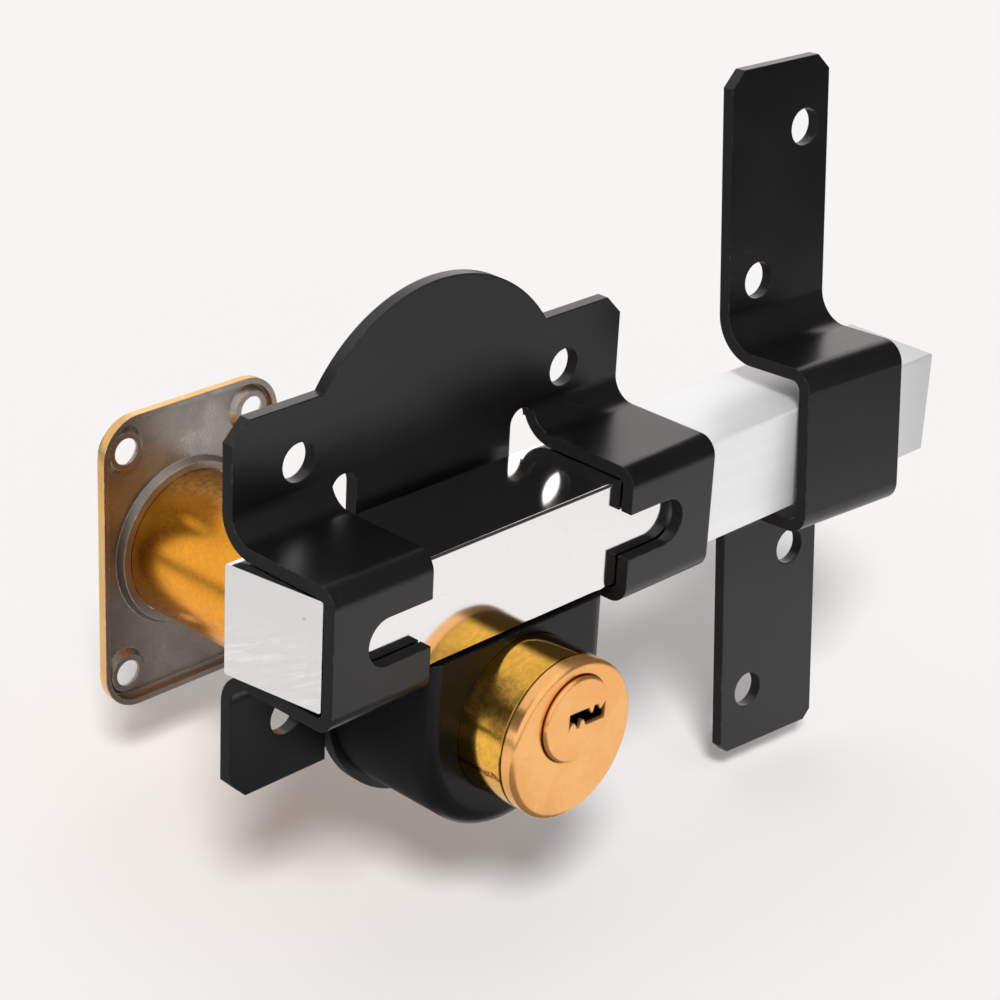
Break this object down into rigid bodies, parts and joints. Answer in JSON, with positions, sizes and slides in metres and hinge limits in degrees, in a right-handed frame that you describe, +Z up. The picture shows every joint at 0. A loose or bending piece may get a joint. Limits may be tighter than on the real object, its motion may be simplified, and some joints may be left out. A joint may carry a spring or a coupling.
{
  "type": "gate lock",
  "caption": "Long throw gate lock: a square rack bolt in a pressed plate with two saddles, worked by a keyed pinion from both sides, with a rear plate and a loose keep.",
  "frame": {"origin": "where the axis of the two brass barrels crosses the lock plate's gate face", "axes": "+X along the bolt towards the keep, +Y from the lock plate through the gate to the rear plate, +Z up"},
  "size_m": [0.1612, 0.1062, 0.1353],
  "materials": {
    "black_coat": "satin black powder coat",
    "bolt_steel": "polished between the saddles, satin beyond",
    "barrel_brass": "turned, tarnished",
    "tube_brass": "turned, orange gold",
    "face_brass": "faced, copper tone",
    "plate_brass": "plated, grey on the gate side",
    "pin_brass": "turned",
    "bronze": "plain",
    "gear_steel": "cut steel",
    "zinc_steel": "zinc plated"
  },
  "bodies": {
    "lock_body": {"lock_plate": "black_coat", "housing": "black_coat", "housing_screws": "zinc_steel", "front_barrel": "barrel_brass", "front_face_ring": "face_brass", "front_drivers": "zinc_steel", "front_springs": "zinc_steel", "thrust_washer": "bronze", "rear_barrel": "tube_brass", "rear_face_ring": "face_brass", "rear_drivers": "zinc_steel", "rear_springs": "zinc_steel"},
    "bolt": {"bolt": "bolt_steel"},
    "pinion": {"pinion": "gear_steel", "coupling_bar": "gear_steel"},
    "front_key_plug": {"front_plug": "face_brass", "front_clip": "zinc_steel", "front_key_pins": "pin_brass"},
    "rear_key_plug": {"rear_plug": "face_brass", "rear_clip": "zinc_steel", "rear_key_pins": "pin_brass"},
    "rear_plate": {"rear_plate": "plate_brass"},
    "keep": {"keep": "black_coat"}
  },
  "joints": [
    {"name": "bolt_slide", "type": "slide", "parent": "lock_body", "child": "bolt", "axis": [1, 0, 0], "range_m": [-0.08246, 0]},
    {"name": "pinion_turn", "type": "hinge", "parent": "lock_body", "child": "pinion", "pos_m": [0, 0, 0.0043], "axis": [0, 1, 0], "range_deg": [-360, 0]},
    {"name": "front_plug_turn", "type": "hinge", "parent": "lock_body", "child": "front_key_plug", "pos_m": [0, 0, 0.0043], "axis": [0, 1, 0], "range_deg": [-360, 0]},
    {"name": "rear_plug_turn", "type": "hinge", "parent": "lock_body", "child": "rear_key_plug", "pos_m": [0, 0, 0.0043], "axis": [0, 1, 0], "range_deg": [-360, 0]},
    {"name": "rear_plate_slide", "type": "slide", "parent": "lock_body", "child": "rear_plate", "axis": [0, 1, 0], "range_m": [-0.02, 0.012]},
    {"name": "keep_slide", "type": "slide", "parent": "lock_body", "child": "keep", "axis": [1, 0, 0], "range_m": [0, 0.06]}
  ],
  "couplings": [
    {"joint": "pinion_turn", "follows": "bolt_slide", "rad_per_m": 76.19},
    {"joint": "front_plug_turn", "follows": "bolt_slide", "rad_per_m": 76.19},
    {"joint": "rear_plug_turn", "follows": "bolt_slide", "rad_per_m": 76.19}
  ]
}
